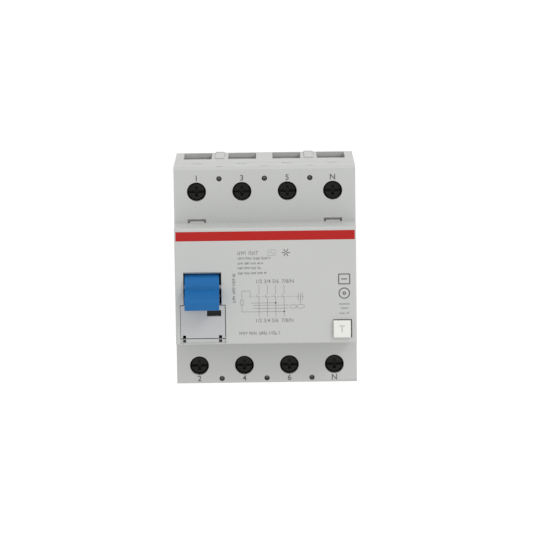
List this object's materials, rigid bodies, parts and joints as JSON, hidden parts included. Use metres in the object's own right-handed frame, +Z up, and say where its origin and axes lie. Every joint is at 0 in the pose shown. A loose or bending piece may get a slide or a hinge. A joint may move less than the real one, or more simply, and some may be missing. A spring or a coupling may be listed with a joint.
{
  "type": "residual current device",
  "caption": "Rail-mounted residual current device with a toggle, a test button, a hinged label flap and screw terminals top and bottom.",
  "frame": {"origin": "centre line of the 35 mm rail, midway along the device, on the plane where the case sits on the rail", "axes": "+X along the rail to the right as seen from the front, +Y into the panel, +Z up"},
  "size_m": [0.07, 0.0687, 0.0855],
  "materials": {
    "housing": "satin moulded thermoset",
    "blue": "satin blue",
    "white": "satin white",
    "flap": "frosted translucent",
    "lens": "smoked clear",
    "green": "matte",
    "red": "matte",
    "screw": "black passivated steel",
    "steel": "zinc plated",
    "copper": "plain copper",
    "silver": "silver alloy",
    "dark_plastic": "matte",
    "core": "strip wound",
    "fibre": "pressed fibre",
    "pins": "plain"
  },
  "bodies": {
    "housing": {"case_base": "housing", "front_cover": "housing", "housing_pins": "pins", "fixed_contact_bars": "copper", "fixed_contact_pads": "silver", "lower_terminal_bars": "copper", "arc_splitter_plates": "steel", "arc_chute_cheeks": "fibre", "toggle_pin": "steel", "mechanism_plate_left": "steel", "mechanism_plate_right": "steel", "shaft_bearing_plate": "steel", "indicator_lens": "lens", "indicator_backing": "green", "transformer_cup": "dark_plastic", "transformer_lid": "dark_plastic", "transformer_core": "core", "secondary_winding": "copper", "primary_leads": "copper", "relay_case": "dark_plastic", "relay_lid": "dark_plastic", "relay_yoke": "steel", "relay_coil": "copper", "relay_magnet": "core", "test_block": "dark_plastic", "test_contact": "copper", "test_resistor": "dark_plastic"},
    "toggle": {"toggle_lever": "blue"},
    "link": {"link_rod": "steel"},
    "contact_carrier": {"contact_shaft": "dark_plastic", "moving_arms": "copper", "moving_contact_pads": "silver", "opening_spring": "steel"},
    "flap": {"label_flap": "flap"},
    "flag": {"indicator_flag": "red"},
    "button": {"test_button": "white"},
    "blade": {"test_blade": "copper"},
    "plunger": {"relay_plunger": "steel"},
    "trip": {"trip_bar": "dark_plastic"},
    "clip_left": {"rail_clip_left": "housing", "clip_spring_left": "steel"},
    "clip_right": {"rail_clip_right": "housing", "clip_spring_right": "steel"},
    "screw_upper_1": {"terminal_screw_upper_1": "screw"},
    "cage_upper_1": {"clamp_cage_upper_1": "steel"},
    "screw_upper_2": {"terminal_screw_upper_2": "screw"},
    "cage_upper_2": {"clamp_cage_upper_2": "steel"},
    "screw_upper_3": {"terminal_screw_upper_3": "screw"},
    "cage_upper_3": {"clamp_cage_upper_3": "steel"},
    "screw_upper_4": {"terminal_screw_upper_4": "screw"},
    "cage_upper_4": {"clamp_cage_upper_4": "steel"},
    "screw_lower_1": {"terminal_screw_lower_1": "screw"},
    "cage_lower_1": {"clamp_cage_lower_1": "steel"},
    "screw_lower_2": {"terminal_screw_lower_2": "screw"},
    "cage_lower_2": {"clamp_cage_lower_2": "steel"},
    "screw_lower_3": {"terminal_screw_lower_3": "screw"},
    "cage_lower_3": {"clamp_cage_lower_3": "steel"},
    "screw_lower_4": {"terminal_screw_lower_4": "screw"},
    "cage_lower_4": {"clamp_cage_lower_4": "steel"}
  },
  "joints": [
    {"name": "toggle_swing", "type": "hinge", "parent": "housing", "child": "toggle", "pos_m": [0, -0.0505, -0.00075], "axis": [-1, 0, 0], "range_deg": [0, 48]},
    {"name": "link_pivot", "type": "hinge", "parent": "toggle", "child": "link", "pos_m": [0, -0.04879, -0.00459], "axis": [-1, 0, 0], "range_deg": [-48.1, 0.1]},
    {"name": "contact_swing", "type": "hinge", "parent": "housing", "child": "contact_carrier", "pos_m": [0, -0.024, 0.002], "axis": [-1, 0, 0], "range_deg": [-0.1, 48.1]},
    {"name": "flag_slide", "type": "slide", "parent": "housing", "child": "flag", "axis": [0, 0, 1], "range_m": [-0.00005, 0.00355]},
    {"name": "button_press", "type": "slide", "parent": "housing", "child": "button", "axis": [0, 1, 0], "range_m": [0, 0.0018], "stiffness_N_per_m": 900, "springref_m": -0.0008},
    {"name": "blade_bend", "type": "hinge", "parent": "housing", "child": "blade", "pos_m": [0.029, -0.04345, -0.004], "axis": [1, 0, 0], "range_deg": [-0.1, 8.4]},
    {"name": "flap_hinge", "type": "hinge", "parent": "housing", "child": "flap", "pos_m": [-0.0242, -0.05445, -0.0197], "axis": [1, 0, 0], "range_deg": [0, 105]},
    {"name": "plunger_drop", "type": "slide", "parent": "housing", "child": "plunger", "axis": [0, 0, -1], "range_m": [0, 0.0009], "stiffness_N_per_m": 500, "springref_m": -0.0005},
    {"name": "trip_turn", "type": "hinge", "parent": "housing", "child": "trip", "pos_m": [0, -0.0405, -0.0082], "axis": [1, 0, 0], "range_deg": [-0.1, 10.5]},
    {"name": "clip_left_pull", "type": "slide", "parent": "housing", "child": "clip_left", "axis": [0, 0, 1], "range_m": [0, 0.003], "stiffness_N_per_m": 2500, "springref_m": -0.001, "deforming": ["clip_spring_left"]},
    {"name": "clip_right_pull", "type": "slide", "parent": "housing", "child": "clip_right", "axis": [0, 0, 1], "range_m": [0, 0.003], "stiffness_N_per_m": 2500, "springref_m": -0.001, "deforming": ["clip_spring_right"]},
    {"name": "screw_upper_1_turn", "type": "hinge", "parent": "housing", "child": "screw_upper_1", "pos_m": [-0.02625, -0.03, 0.0345], "axis": [0, 1, 0], "range_deg": [-3, 2883]},
    {"name": "cage_upper_1_lift", "type": "slide", "parent": "housing", "child": "cage_upper_1", "axis": [0, -1, 0], "range_m": [0, 0.0064]},
    {"name": "screw_upper_2_turn", "type": "hinge", "parent": "housing", "child": "screw_upper_2", "pos_m": [-0.00875, -0.03, 0.0345], "axis": [0, 1, 0], "range_deg": [-3, 2883]},
    {"name": "cage_upper_2_lift", "type": "slide", "parent": "housing", "child": "cage_upper_2", "axis": [0, -1, 0], "range_m": [0, 0.0064]},
    {"name": "screw_upper_3_turn", "type": "hinge", "parent": "housing", "child": "screw_upper_3", "pos_m": [0.00875, -0.03, 0.0345], "axis": [0, 1, 0], "range_deg": [-3, 2883]},
    {"name": "cage_upper_3_lift", "type": "slide", "parent": "housing", "child": "cage_upper_3", "axis": [0, -1, 0], "range_m": [0, 0.0064]},
    {"name": "screw_upper_4_turn", "type": "hinge", "parent": "housing", "child": "screw_upper_4", "pos_m": [0.02625, -0.03, 0.0345], "axis": [0, 1, 0], "range_deg": [-3, 2883]},
    {"name": "cage_upper_4_lift", "type": "slide", "parent": "housing", "child": "cage_upper_4", "axis": [0, -1, 0], "range_m": [0, 0.0064]},
    {"name": "screw_lower_1_turn", "type": "hinge", "parent": "housing", "child": "screw_lower_1", "pos_m": [-0.02625, -0.03, -0.0337], "axis": [0, 1, 0], "range_deg": [-3, 2883]},
    {"name": "cage_lower_1_lift", "type": "slide", "parent": "housing", "child": "cage_lower_1", "axis": [0, -1, 0], "range_m": [0, 0.0064]},
    {"name": "screw_lower_2_turn", "type": "hinge", "parent": "housing", "child": "screw_lower_2", "pos_m": [-0.00875, -0.03, -0.0337], "axis": [0, 1, 0], "range_deg": [-3, 2883]},
    {"name": "cage_lower_2_lift", "type": "slide", "parent": "housing", "child": "cage_lower_2", "axis": [0, -1, 0], "range_m": [0, 0.0064]},
    {"name": "screw_lower_3_turn", "type": "hinge", "parent": "housing", "child": "screw_lower_3", "pos_m": [0.00875, -0.03, -0.0337], "axis": [0, 1, 0], "range_deg": [-3, 2883]},
    {"name": "cage_lower_3_lift", "type": "slide", "parent": "housing", "child": "cage_lower_3", "axis": [0, -1, 0], "range_m": [0, 0.0064]},
    {"name": "screw_lower_4_turn", "type": "hinge", "parent": "housing", "child": "screw_lower_4", "pos_m": [0.02625, -0.03, -0.0337], "axis": [0, 1, 0], "range_deg": [-3, 2883]},
    {"name": "cage_lower_4_lift", "type": "slide", "parent": "housing", "child": "cage_lower_4", "axis": [0, -1, 0], "range_m": [0, 0.0064]}
  ],
  "couplings": [
    {"joint": "link_pivot", "follows": "toggle_swing", "ratio": -1},
    {"joint": "contact_swing", "follows": "toggle_swing", "ratio": 1},
    {"joint": "flag_slide", "follows": "toggle_swing", "m_per_rad": 0.0041778},
    {"joint": "blade_bend", "follows": "button_press", "rad_per_m": 76.923},
    {"joint": "trip_turn", "follows": "plunger_drop", "rad_per_m": 200},
    {"joint": "screw_upper_1_turn", "follows": "cage_upper_1_lift", "rad_per_m": 7854},
    {"joint": "screw_upper_2_turn", "follows": "cage_upper_2_lift", "rad_per_m": 7854},
    {"joint": "screw_upper_3_turn", "follows": "cage_upper_3_lift", "rad_per_m": 7854},
    {"joint": "screw_upper_4_turn", "follows": "cage_upper_4_lift", "rad_per_m": 7854},
    {"joint": "screw_lower_1_turn", "follows": "cage_lower_1_lift", "rad_per_m": 7854},
    {"joint": "screw_lower_2_turn", "follows": "cage_lower_2_lift", "rad_per_m": 7854},
    {"joint": "screw_lower_3_turn", "follows": "cage_lower_3_lift", "rad_per_m": 7854},
    {"joint": "screw_lower_4_turn", "follows": "cage_lower_4_lift", "rad_per_m": 7854}
  ]
}
